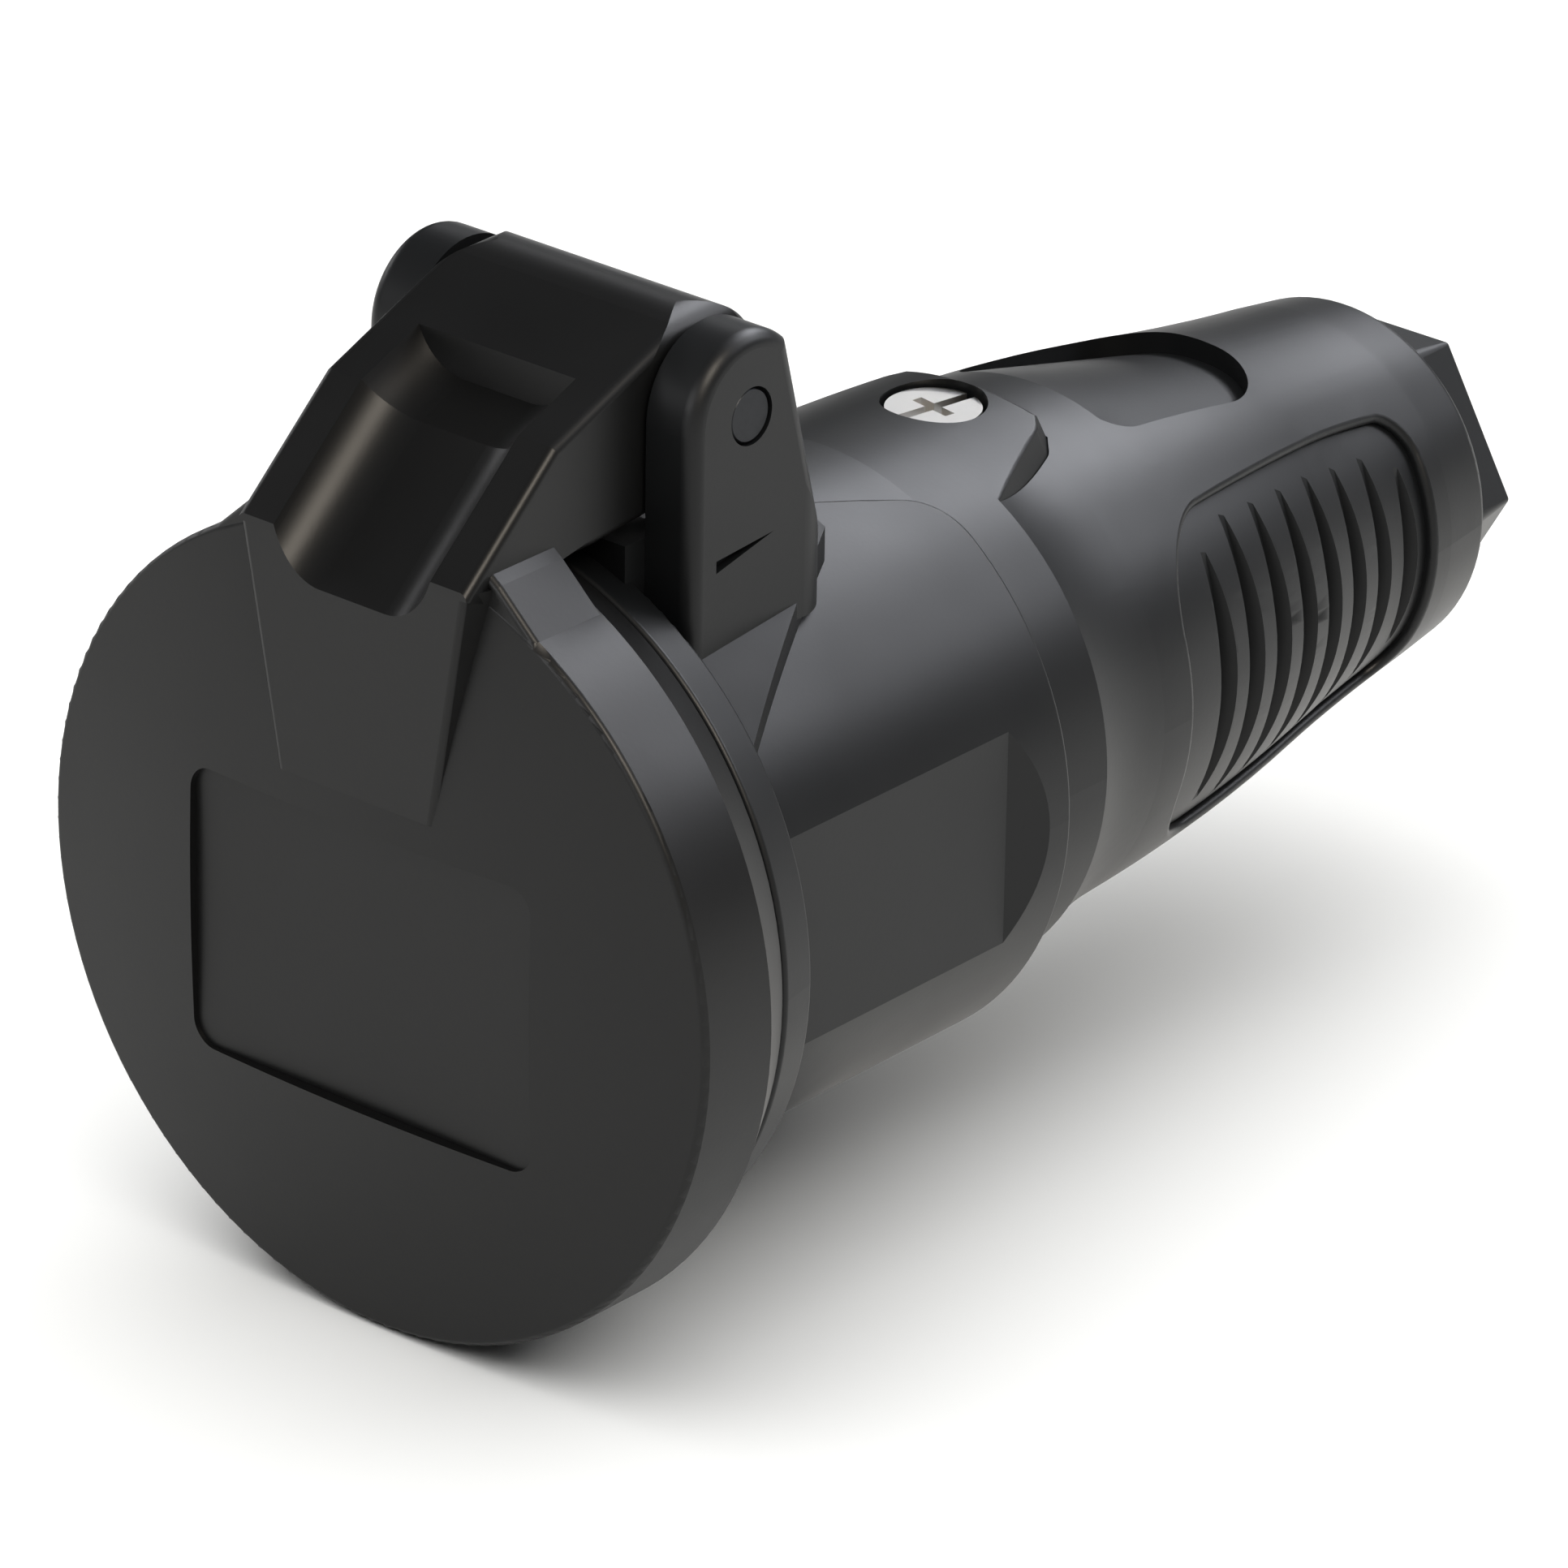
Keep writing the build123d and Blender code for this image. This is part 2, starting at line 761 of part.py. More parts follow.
def lid():
    """Round cover with its arm, hinge barrel and thumb scoop."""
    mid_r = lid_r / 2
    dome_r = (lid_r**2 + lid_dome**2) / (2 * lid_dome)
    mid_y = lid_crown_y + dome_r - sqrt(dome_r**2 - mid_r**2)
    rim = (lid_r, lid_rim_y)
    face = make_face([
        ThreePointArc((0, lid_crown_y), (mid_r, mid_y), rim),
        Polyline(
            rim,
            (lid_r, lid_bevel_y),
            (ring_front_r, -lid_gap),
            (gasket_bed_r, -lid_gap),
            (gasket_bed_r, gasket_bed_y),
            (lid_hollow_r, gasket_bed_y),
            (lid_hollow_r, lid_crown_y + lid_floor_t),
            (0, lid_crown_y + lid_floor_t),
            (0, lid_crown_y),
        ),
    ])
    cover = revolve(soft_corner(face, [rim], lid_edge_round), Axis.Y)
    pocket = mirrored((pocket_half, pocket_low_z), (pocket_half, pocket_top_z))
    pocket = fillet(pocket.vertices(), pocket_corner_r)
    cover -= front_plate(pocket, lid_crown_y - over, lid_crown_y + pocket_sink)
    neck = mirrored(
        (neck_low_half, neck_low_z - 6 * over),
        (neck_low_half, neck_low_z),
        (neck_top_half, neck_top_z),
        (arm_half, neck_top_z + neck_crest),
    )
    neck = front_plate(neck, lid_rim_y, lid_rim_y + neck_depth)
    neck_sides = edges_where(neck, lambda p: (
        abs(p.Y - lid_rim_y) < 0.01 and abs(p.X) > arm_half and p.Z > neck_low_z
    ))
    neck = fillet(neck_sides, lid_edge_round)
    hollow = ring(gasket_bed_r, over, gasket_bed_y, 0) + rod_y(lid_hollow_r, lid_crown_y + lid_floor_t, 0)
    cover += lid_wedge()
    cover += neck - hollow
    cover += lid_arm()
    cover -= thumb_scoop()
    window = box(-window_half, window_half, window_front_y, hinge_y + 2 * barrel_r, ear_foot_z, hinge_z)
    cover -= window
    cover -= rod_x(window_r, -window_half, window_half, hinge_y, hinge_z)
    leg_z = hinge_z - coil_r
    cover -= box(
        coil_half - wire_r - move_gap,
        coil_half + wire_r + move_gap,
        spring_lid_tip_y - move_gap,
        window_front_y + over,
        leg_z - wire_r - move_gap,
        leg_z + wire_r + move_gap,
    )
    cover -= rod_x(pin_r + run_gap, -arm_half - over, arm_half + over, hinge_y, hinge_z)
    return cover


def lid_gasket():
    """Soft ring in the lid, with a lip that meets the ring of the frame."""
    outer = gasket_bed_r - seat_gap
    bed = gasket_bed_y + seat_gap
    return turned(
        (gasket_in_r, bed),
        (outer, bed),
        (outer, bed + gasket_web),
        (gasket_lip_r + gasket_lip_w, bed + gasket_web),
        (gasket_lip_r, -lid_gap + seat_gap),
        (gasket_lip_r - gasket_lip_w, -lid_gap + seat_gap),
        (gasket_in_r, bed + gasket_web),
    )


def hinge_pin():
    """Plain pin through the ears and the barrel."""
    end = ear_out_x - pin_recess
    pin = rod_x(pin_r, -end, end, hinge_y, hinge_z)
    return chamfer(pin.edges().filter_by(GeomType.CIRCLE), pin_chamfer)


def lid_spring():
    """Torsion spring: coil round the pin, one leg behind the bridge and one in the arm."""
    height = coil_half * 2
    coil_path = Helix(pitch=height / coil_turns, height=height, radius=coil_r)
    wire_section = Plane(origin=coil_path @ 0, z_dir=coil_path % 0) * Circle(wire_r)
    coil = sweep(wire_section, path=coil_path, is_frenet=True)
    across = Plane(origin=(-coil_half, hinge_y, hinge_z), x_dir=(0, -1, 0), z_dir=(1, 0, 0))
    coil = across * coil
    leg_y = hinge_y - coil_r
    leg_z = hinge_z - coil_r
    frame_leg = rod_z(wire_r, hinge_z - spring_foot_len, hinge_z, x=-coil_half, y=leg_y)
    lid_leg = rod_y(wire_r, spring_lid_tip_y, hinge_y, x=coil_half, z=leg_z)
    return coil + frame_leg + lid_leg


def socket_insert():
    """Contact carrier with the plug recess, two contact towers and two screw posts."""
    skirt_r = insert_outer_r - skirt_t
    body = turned(
        (recess_r, insert_front_y),
        (insert_outer_r, insert_front_y),
        (insert_outer_r, insert_end_y),
        (skirt_r, insert_end_y),
        (skirt_r, floor_rear_y),
        (0, floor_rear_y),
        (0, recess_depth),
        (recess_r, recess_depth),
    )
    body += both_sides(box(
        recess_r - key_h,
        recess_r + over,
        insert_front_y + over,
        recess_depth,
        -key_half,
        key_half,
    ))
    bore_r = sleeve_out_r + chamber_gap
    root_y = floor_rear_y - over / 2
    for side in (1, -1):
        x = side * pin_x
        tower = box(x - tower_half, x + tower_half, root_y, insert_end_y, -tower_half, tower_half)
        post = rod_y(cover_post_r, root_y, insert_end_y, side * cover_screw_x, side * cover_screw_z)
        body += tower + post
    for side in (1, -1):
        x = side * pin_x
        flange_y = insert_end_y - contact_flange_t - seat_gap
        body -= rod_y(pin_r_plug + pin_hole_play, recess_depth - over, floor_rear_y, x)
        body -= rod_y(bore_r, floor_rear_y, insert_end_y, x)
        body -= rod_y(contact_flange_r + seat_gap, flange_y, insert_end_y, x)
        hole_end_y = cover_face_y - cover_screw_len - seat_gap
        screw_x = side * cover_screw_x
        screw_z = side * cover_screw_z
        body -= rod_y(cover_screw_r + seat_gap, hole_end_y, insert_end_y, screw_x, screw_z)
        z_in = side * (earth_leg_z - earth_t - chamber_gap)
        z_out = side * (earth_leg_z + chamber_gap)
        body -= box(
            -earth_slot_half,
            earth_slot_half,
            recess_depth - over,
            floor_rear_y + over,
            min(z_in, z_out),
            max(z_in, z_out),
        )
    return body


def line_contact(side):
    """Split sleeve on a flange, with a flat tail for the terminal block."""
    x = side * pin_x
    flange_y = insert_end_y - contact_flange_t
    front_y = flange_y - sleeve_len
    sleeve = rod_y(sleeve_out_r, front_y, flange_y, x)
    flange = rod_y(contact_flange_r, flange_y, insert_end_y, x)
    tail = tail_strip(x, 0, insert_end_y - contact_flange_t / 2)
    body = sleeve + flange + tail
    body -= rod_y(sleeve_r, front_y - over, flange_y, x)
    reach = sleeve_out_r + over
    half = sleeve_split / 2
    body -= box(x - half, x + half, front_y - over, flange_y - sleeve_root, -reach, reach)
    return body


def tail_strip(x, z, y_from):
    """Flat tail that lies on the floor of a terminal block's window."""
    low = z - block_window_h / 2 + seat_gap
    return box(x - tail_half, x + tail_half, y_from, tail_end_y, low, low + tail_t)


def earth_strip():
    """Strip bent to a U, with a side contact at each end and a tail."""
    base_front_y = floor_rear_y + seat_gap
    base_rear_y = base_front_y + earth_t
    leg = [
        (base_rear_y, earth_leg_z),
        (earth_relief_y, earth_leg_z),
        (earth_touch_y, earth_touch_z + earth_t),
        (earth_tip_y, earth_tip_z),
        (earth_tip_y, earth_tip_z - earth_t),
        (earth_touch_y, earth_touch_z),
        (earth_relief_y, earth_leg_z - earth_t),
        (base_front_y, earth_leg_z - earth_t),
    ]
    face = outline(*leg, *[(y, -z) for y, z in reversed(leg)])
    strip = side_plate(face, -earth_half, earth_half)
    return strip + tail_strip(0, earth_block_z, base_rear_y - earth_t / 2)


def terminal_block(x, z):
    """Brass block with a window for the tail and the wire, and a screw hole in its roof."""
    middle_y = block_front_y + block_len / 2
    half_h = block_window_h / 2
    roof_z = z + half_h + block_roof
    body = box(
        x - block_half_x,
        x + block_half_x,
        block_front_y,
        block_front_y + block_len,
        z - half_h - block_wall,
        roof_z,
    )
    window_half = tail_half + seat_gap
    body -= box(x - window_half, x + window_half, block_front_y - over, tail_end_y + over, z - half_h, z + half_h)
    body -= rod_z(terminal_screw_r + seat_gap, z, roof_z + over, x, middle_y)
    return body


def slotted_screw(head_r, head_h, shank_r, length, slot_w, slot_d):
    """Cheese-head screw along -Z with the underside of its head at z = 0."""
    screw = rod_z(head_r, 0, head_h) + rod_z(shank_r, -length, 0)
    screw -= box(-slot_w / 2, slot_w / 2, -head_r - over, head_r + over, head_h - slot_d, head_h + over)
    return screw


def terminal_screws():
    """The three clamping screws of the terminal blocks."""
    y = block_front_y + block_len / 2
    under_head = block_window_h / 2 + block_roof + terminal_head_lift
    places = [(-pin_x, 0), (pin_x, 0), (0, earth_block_z)]
    screw = slotted_screw(
        terminal_head_r,
        terminal_head_h,
        terminal_screw_r,
        under_head - block_window_h / 2 + terminal_reach,
        terminal_slot,
        terminal_slot_depth,
    )
    return Compound(children=[Pos(x, y, z + under_head) * screw for x, z in places])


def insert_cover():
    """Rear plate that keeps the contacts in the insert."""
    front_y = insert_end_y + seat_gap
    body = rod_y(insert_outer_r, front_y, cover_face_y)
    half = tail_half + seat_gap
    for x, z in [(-pin_x, 0), (pin_x, 0), (0, earth_block_z)]:
        low = z - block_window_h / 2
        body -= box(x - half, x + half, front_y - over, stop_y, low, low + tail_t + 2 * seat_gap)
    for side in (1, -1):
        screw_x = side * cover_screw_x
        body -= rod_y(cover_screw_r + seat_gap, front_y - over, stop_y, screw_x, side * cover_screw_z)
    return body


def cover_screws():
    """The two screws of the insert cover."""
    screw = slotted_screw(
        cover_head_r,
        cover_head_h,
        cover_screw_r,
        cover_screw_len,
        cover_slot,
        cover_slot_depth,
    )
    screw = Rot(-90, 0, 0) * screw
    return Compound(children=[
        Pos(side * cover_screw_x, cover_face_y, side * cover_screw_z) * screw
        for side in (1, -1)
    ])


def body_seal():
    """Flat ring in the joint between the housing and the handle."""
    front_y = parting_y - seal_t + seal_play
    return ring(seal_out_r - seat_gap, spigot_bore_r, front_y, parting_y - seal_play)


def name_recess():
    """Tool for the shallow recess on top of the handle."""
    front_r = handle_radius(name_front_y) - name_front_depth
    rear_r = handle_radius(name_rear_y) - name_rear_depth
    floor = turned(
        (0, name_front_y - over),
        (front_r, name_front_y - over),
        (front_r, name_front_y),
        (rear_r, name_rear_y),
        (rear_r, name_rear_y + over),
        (0, name_rear_y + over),
    )
    plan = mirrored((name_half, name_front_y), (name_half, name_rear_y))
    fronts = [(name_half, name_front_y), (-name_half, name_front_y)]
    rears = [(name_half, name_rear_y), (-name_half, name_rear_y)]
    plan = soft_corner(soft_corner(plan, fronts, name_front_corner), rears, name_rear_corner)
    return top_plate(plan, 0, body_r) - floor


def grip_outline():
    """Outline of a grip panel in the side view."""
    middle_y = (grip_front_y + grip_rear_y) / 2
    top = ThreePointArc(
        (grip_front_y, grip_front_half),
        (middle_y, grip_middle_half),
        (grip_rear_y, grip_rear_half),
    )
    low = ThreePointArc(
        (grip_rear_y, -grip_rear_half),
        (middle_y, -grip_middle_half),
        (grip_front_y, -grip_front_half),
    )
    rear = Line(top @ 1, low @ 0)
    front = Line(low @ 1, top @ 0)
    face = make_face([top, rear, low, front])
    fronts = [(grip_front_y, grip_front_half), (grip_front_y, -grip_front_half)]
    rears = [(grip_rear_y, grip_rear_half), (grip_rear_y, -grip_rear_half)]
    return soft_corner(soft_corner(face, fronts, grip_front_corner), rears, grip_rear_corner)


def handle_radius(y):
    """Outer radius of the handle at a distance along the axis."""
    run = y - waist_y
    bend = (swell_r - waist_r - waist_slope * (swell_y - waist_y)) / (swell_y - waist_y) ** 2
    if y <= swell_y:
        return waist_r + waist_slope * run + bend * run**2
    share = (y - swell_y) / (neck_end_y - swell_y)
    return swell_r + (neck_end_r - swell_r) * share


def groove_half(index):
    """Half length of a groove: it ends inside the rim of its panel."""
    share = groove_pitch * index / (grip_rear_y - groove_first_y)
    half = grip_front_half + (grip_rear_half - grip_front_half) * share - groove_margin
    if index == 0:
        half -= groove_first_trim
    if index == groove_count - 1:
        half -= groove_last_trim
    return half


def grip_groove(index):
    """Tool for one groove, deepest at the side of the handle."""
    y = groove_first_y + groove_pitch * index
    top_r = handle_radius(y) - grip_sink
    reach = asin(groove_half(index) / top_r)
    run = top_r * (1 - cos(reach)) - groove_depth
    shift = (2 * top_r * groove_depth - groove_depth**2) / (2 * run)
    bottom_r = top_r - groove_depth + shift
    half = groove_w / 2
    floor_half = half * groove_floor_share
    section = outline(
        (bottom_r, y - floor_half),
        (bottom_r, y + floor_half),
        (bottom_r + groove_depth, y + half),
        (bottom_r + groove_clear, y + half),
        (bottom_r + groove_clear, y - half),
        (bottom_r + groove_depth, y - half),
    )
    tool = Pos(-shift, 0, 0) * revolve(section, Axis.Y)
    tip = groove_half(index) + groove_tip_play
    return tool & box(0, body_r, y - half, y + half, -tip, tip)


def grip_rims(body):
    """The rims of the two grip panels, where they leave the handle's surface."""
    skin = handle_surface(skin_depth)
    return edges_where(body, lambda p: (
        abs(p.X) > grip_inner_x and grip_front_y - over < p.Y < grip_rear_y + over
        and not skin.is_inside(p)
    ))


def gripped_form():
    """The handle's outer form with its two ribbed grip panels."""
    form = handle_surface(0)
    grip = side_plate(grip_outline(), grip_inner_x, body_r) - handle_surface(grip_sink)
    form -= both_sides(grip)
    form = fillet(grip_rims(form), grip_rim_round)
    for index in range(groove_count):
        form -= both_sides(grip_groove(index))
    return form


def rear_handle():
    """Tapered shell with the spigot, the screw boss, the gland seat and the grips."""
    outer = gripped_form() - rod_y(body_r, parting_y - over, parting_y + seat_gap)
    spigot = rod_y(spigot_r, spigot_front_y, parting_y + over)
    body = outer + spigot
    cavity = handle_surface(handle_wall) & rod_y(body_r, waist_y - over, gland_floor_y - gland_floor_t)
    cavity += rod_y(spigot_r - spigot_wall, spigot_front_y - over, waist_y)
    cavity -= box(
        -boss_half,
        boss_half,
        spigot_front_y - 2 * over,
        boss_rear_y,
        boss_low_z,
        body_r,
    )
    body -= cavity
    body -= rod_y(gland_throat_r, waist_y, gland_floor_y + over)
    body -= rod_y(gland_bore_r, gland_floor_y, handle_end_y + over)
    rim_pocket_r = handle_end_r - rim_pocket_wall
    body -= rod_y(rim_pocket_r, handle_end_y - rim_pocket_depth, handle_end_y + over)
    bed = pad_block(seat_gap)
    bed &= box(-body_r, body_r, parting_y - seat_gap, boss_rear_y, 0, body_r)
    body -= bed - rod_y(pad_bed_r - seat_gap, stop_y, boss_rear_y)
    body -= rod_z(screw_shank_r + seat_gap, 0, body_r, y=screw_y)
    nut_half = nut_side / 2 + seat_gap
    body -= box(
        -nut_half,
        nut_half,
        screw_y - nut_half,
        screw_y + nut_half,
        0,
        nut_top_z + seat_gap,
    )
    body -= name_recess()
    return body


def housing_screw():
    """Slotted screw that ties the housing and the handle together."""
    screw = slotted_screw(
        screw_head_r,
        screw_head_h,
        screw_shank_r,
        screw_shank_len,
        screw_slot,
        screw_slot_depth,
    )
    cross = box(
        -screw_cross_half,
        screw_cross_half,
        -screw_slot / 2,
        screw_slot / 2,
        screw_head_h - screw_slot_depth,
        screw_head_h + over,
    )
    return Pos(0, screw_y, screw_seat_z) * Rot(0, 0, -screw_slot_turn) * (screw - cross)


def screw_nut():
    """Square nut in the handle's boss."""
    half = nut_side / 2
    block = box(-half, half, screw_y - half, screw_y + half, nut_low_z, nut_top_z)
    return block - rod_z(screw_shank_r + seat_gap, 0, body_r, y=screw_y)


def clamping_cage():
    """Ring of fingers round the gland seal."""
    cage = ring(cage_r, cage_r - cage_wall, cage_front_y, cage_front_y + cage_len)
    reach = cage_r + over
    half = cage_split / 2
    for index in range(cage_fingers // 2):
        cut = box(
            -half,
            half,
            cage_front_y + cage_ring,
            cage_front_y + cage_len + over,
            -reach,
            reach,
        )
        cage -= Rot(0, 360 / cage_fingers * index, 0) * cut
    return cage


def gland_seal():
    """Rubber sleeve that grips the cable."""
    rear_y = cage_front_y + seal_sleeve_len
    return turned(
        (seal_bore_r, cage_front_y),
        (seal_outer_r, cage_front_y),
        (seal_outer_r, rear_y - seal_sleeve_chamfer),
        (seal_outer_r - seal_sleeve_chamfer, rear_y),
        (seal_bore_r, rear_y),
    )


def slip_washer():
    """Plain washer between the gland nut and the seal."""
    hole_r = nut_bore_r + washer_hole_play
    return ring(gland_bore_r - run_gap, hole_r, washer_front_y, washer_front_y + washer_t)


def gland_nut():
    """Hexagonal compression nut with a plain shank in the handle."""
    shank = rod_y(shank_r, shank_front_y, nut_face_y)
    root_half = handle_end_r - hex_root_inset
    draft = atan2(hex_inset - hex_root_inset, hex_h)
    section = RegularPolygon(root_half, 6, major_radius=False, rotation=0)
    corners = fillet(section.vertices(), hex_round)
    plane = Plane(origin=(0, nut_face_y, 0), x_dir=(1, 0, 0), z_dir=(0, 1, 0))
    head = extrude(plane * corners, hex_h, taper=degrees(draft))
    end_rim = edges_where(head, lambda p: abs(p.Y - nut_face_y - hex_h) < 0.01)
    head = fillet(end_rim, hex_edge_round)
    nut = head + shank
    nut -= rod_y(nut_bore_r, shank_front_y - over, nut_face_y + hex_h + over)
    return nut


nodes = {
    "front_housing": front_housing(),
    "lid_frame": lid_frame(),
    "lid": lid(),
    "lid_gasket": lid_gasket(),
    "hinge_pin": hinge_pin(),
    "lid_spring": lid_spring(),
    "socket_insert": socket_insert(),
    "line_contact_left": line_contact(-1),
    "line_contact_right": line_contact(1),
    "earth_strip": earth_strip(),
    "terminal_block_left": terminal_block(-pin_x, 0),
    "terminal_block_right": terminal_block(pin_x, 0),
    "terminal_block_earth": terminal_block(0, earth_block_z),
    "terminal_screws": terminal_screws(),
    "insert_cover": insert_cover(),
    "cover_screws": cover_screws(),
    "body_seal": body_seal(),
    "rear_handle": rear_handle(),
    "housing_screw": housing_screw(),
    "screw_nut": screw_nut(),
    "clamping_cage": clamping_cage(),
    "gland_seal": gland_seal(),
    "slip_washer": slip_washer(),
    "gland_nut": gland_nut(),
}

if __name__ == "__main__":
    for name, solid in nodes.items():
        export_step(solid, f"parts/{name}.step")
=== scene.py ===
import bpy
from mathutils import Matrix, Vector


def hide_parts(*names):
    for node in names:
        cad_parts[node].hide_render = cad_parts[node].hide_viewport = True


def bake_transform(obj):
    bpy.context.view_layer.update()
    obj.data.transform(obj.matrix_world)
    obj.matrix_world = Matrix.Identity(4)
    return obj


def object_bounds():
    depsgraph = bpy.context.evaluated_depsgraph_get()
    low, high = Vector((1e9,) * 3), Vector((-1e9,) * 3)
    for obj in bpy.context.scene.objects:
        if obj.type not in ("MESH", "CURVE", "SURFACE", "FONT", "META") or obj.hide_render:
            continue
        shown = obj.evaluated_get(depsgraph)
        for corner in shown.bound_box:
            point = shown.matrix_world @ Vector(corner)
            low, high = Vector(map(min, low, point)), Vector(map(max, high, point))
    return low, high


bl_info = {
    "name": "Cable coupler with self-closing lid",
    "version": (1, 0, 0),
    "blender": (4, 5, 0),
    "location": "3D View > Sidebar > Coupler",
    "description": "Dresses the packed coupler: shells, lid, spring, contacts, screws and stage",
    "category": "Object",
}

from math import cos, radians, sin

import bmesh
import bpy
from bpy.props import FloatProperty, FloatVectorProperty, PointerProperty
from mathutils import Matrix, Vector

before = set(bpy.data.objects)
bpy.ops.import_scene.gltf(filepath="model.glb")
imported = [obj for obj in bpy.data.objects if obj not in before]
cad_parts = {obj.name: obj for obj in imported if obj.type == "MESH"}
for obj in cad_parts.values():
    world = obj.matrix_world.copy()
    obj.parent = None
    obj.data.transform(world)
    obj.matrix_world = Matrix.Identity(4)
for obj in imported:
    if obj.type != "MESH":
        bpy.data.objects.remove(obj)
cad_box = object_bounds()

MM = 0.001

MERGE_DISTANCE = 0.002 * MM  # vertices of a CAD mesh closer than this are one corner
SPRING_SMOOTH_DEG = 60      # only the cut ends of the wire are sharper

# Most of a noise texture's values lie in this span
NOISE_LOW = 0.3
NOISE_HIGH = 0.7

# Sockets of a colour Mix node
MIX_FACTOR = 0
MIX_A = 6
MIX_B = 7
MIX_RESULT = 2

# Of the mouldings' roughness, to either side of its middle
ROUGHNESS_DRIFT = 0.03

WORLD_STRENGTH = 0.03
FLOOR_GAP = 0.2 * MM        # under the lid, so that the two never share a plane
GLOW_LIFT = 0.5 * MM        # of the table's glow, over the lowest point of the coupler
GLOW_PLACE = (-0.01, 0.11)  # under the end of the handle and past it
LAMP_AIM = Vector((0, 0.05, 0))  # near the middle of the coupler's length

# Name, degrees from +Y towards +X, degrees up, metres away, width and height in metres,
# watts, colour, and whether the object's surfaces take diffuse or glossy light from it
SOFTBOXES = (
    ("ceiling", 0, 90, 1.5, (4.0, 4.0), 106.0, "#ffffff", "diffuse"),
    ("back_softbox", -14, 38, 1.4, (0.6, 0.45), 10.5, "#f3f5fc", "glossy"),
    ("high_softbox", 10, 44, 1.4, (0.6, 0.45), 11.0, "#f3f5fc", "glossy"),
    ("side_softbox", 34, 30, 1.4, (0.5, 0.4), 7.0, "#f3f5fc", "glossy"),
    ("screw_softbox", -40, 25, 1.4, (0.3, 0.2), 0.32, "#ffffff", "glossy"),
    ("front_softbox", 115, 45, 1.4, (0.6, 0.5), 19.0, "#fff4e4", "glossy"),
    ("rear_view_fill", -175, 22, 1.4, (1.2, 0.4), 9.0, "#f8f8fa", "glossy"),
    ("left_view_fill", -95, 18, 1.4, (0.8, 0.3), 4.0, "#f8f8fa", "glossy"),
    ("table_glow", 0, -90, 1.0, (0.1, 0.16), 0.02, "#fffaf2", "glossy"),
)

CAMERA_PLACE = Vector((0.46437, -0.52032, 0.33474))
CAMERA_RIGHT = Vector((0.76151, 0.64796, 0.01581))
CAMERA_UP = Vector((-0.28577, 0.31375, 0.90548))
CAMERA_LENS_MM = 248.43
CAMERA_SENSOR_MM = 36.0
CAMERA_CLIP = (0.05, 20.0)


def linear(hex_colour):
    """Linear RGBA of an sRGB hex colour."""
    rgba = []
    for i in (1, 3, 5):
        channel = int(hex_colour[i:i + 2], 16) / 255
        rgba.append(channel / 12.92 if channel <= 0.04045 else ((channel + 0.055) / 1.055) ** 2.4)
    return rgba + [1.0]


class CouplerSizes(bpy.types.PropertyGroup):
    """Sizes that aren't set by the CAD."""

    plastic_grain: FloatProperty(
        name="Plastic grain",
        description="Width of the grain that the eroded tool leaves on the mouldings",
        default=0.45 * MM,
        unit="LENGTH",
    )
    spring_half_coil: FloatProperty(
        name="Half coil of the spring",
        description="From the middle of the spring's coil to the end of the turns that twist",
        default=4.0 * MM,
        unit="LENGTH",
    )
    floor_half: FloatProperty(
        name="Half floor",
        description="From the middle of the studio floor to its edge",
        default=3.0,
        unit="LENGTH",
    )


class CouplerColours(bpy.types.PropertyGroup):
    """Colours of the mouldings and metals."""

    shell: FloatVectorProperty(
        name="Shell",
        description="Polyamide of the housing, the lid frame, the handle and the nut",
        default=linear("#101112"),
        subtype="COLOR",
        size=4,
    )
    # Painted a little darker than the shell: painted shade on the lid and its arm
    lid: FloatVectorProperty(
        name="Lid",
        description="Polyamide of the lid",
        default=linear("#0e0e0e"),
        subtype="COLOR",
        size=4,
    )
    insert: FloatVectorProperty(
        name="Insert",
        description="Polycarbonate of the insert, its cover and the clamping cage",
        default=linear("#1a1a1b"),
        subtype="COLOR",
        size=4,
    )
    rubber: FloatVectorProperty(
        name="Rubber",
        description="Nitrile rubber of the seals and the gasket",
        default=linear("#191919"),
        subtype="COLOR",
        size=4,
    )
    brass: FloatVectorProperty(
        name="Brass",
        description="Contacts, terminal blocks and the square nut",
        default=linear("#d2ae6a"),
        subtype="COLOR",
        size=4,
    )
    nickel: FloatVectorProperty(
        name="Nickel",
        description="Plating of the screws and the washer",
        default=linear("#dddcda"),
        subtype="COLOR",
        size=4,
    )
    pin: FloatVectorProperty(
        name="Pin",
        description="Black oxide on the hinge pin",
        default=linear("#2d2e30"),
        subtype="COLOR",
        size=4,
    )
    spring: FloatVectorProperty(
        name="Spring",
        description="Drawn wire of the lid spring",
        default=linear("#9b9a96"),
        subtype="COLOR",
        size=4,
    )
    floor: FloatVectorProperty(
        name="Floor",
        description="Matt floor of the studio",
        default=linear("#f4f4f2"),
        subtype="COLOR",
        size=4,
    )


# Materials


def add_node(tree, kind, inputs=None, **settings):
    """Adds a node, sets its properties, then its inputs: a value, or an output to link."""
    node = tree.nodes.new(kind)
    for key, value in settings.items():
        setattr(node, key, value)
    for key, value in (inputs or {}).items():
        if isinstance(value, bpy.types.NodeSocket):
            tree.links.new(value, node.inputs[key])
        else:
            node.inputs[key].default_value = value
    return node


def new_material(name):
    """An empty material with its shader and output."""
    material = bpy.data.materials.new(name)
    material.use_nodes = True
    tree = material.node_tree
    tree.nodes.clear()
    shader = add_node(tree, "ShaderNodeBsdfPrincipled")
    add_node(tree, "ShaderNodeOutputMaterial", {"Surface": shader.outputs["BSDF"]})
    return material, tree, shader


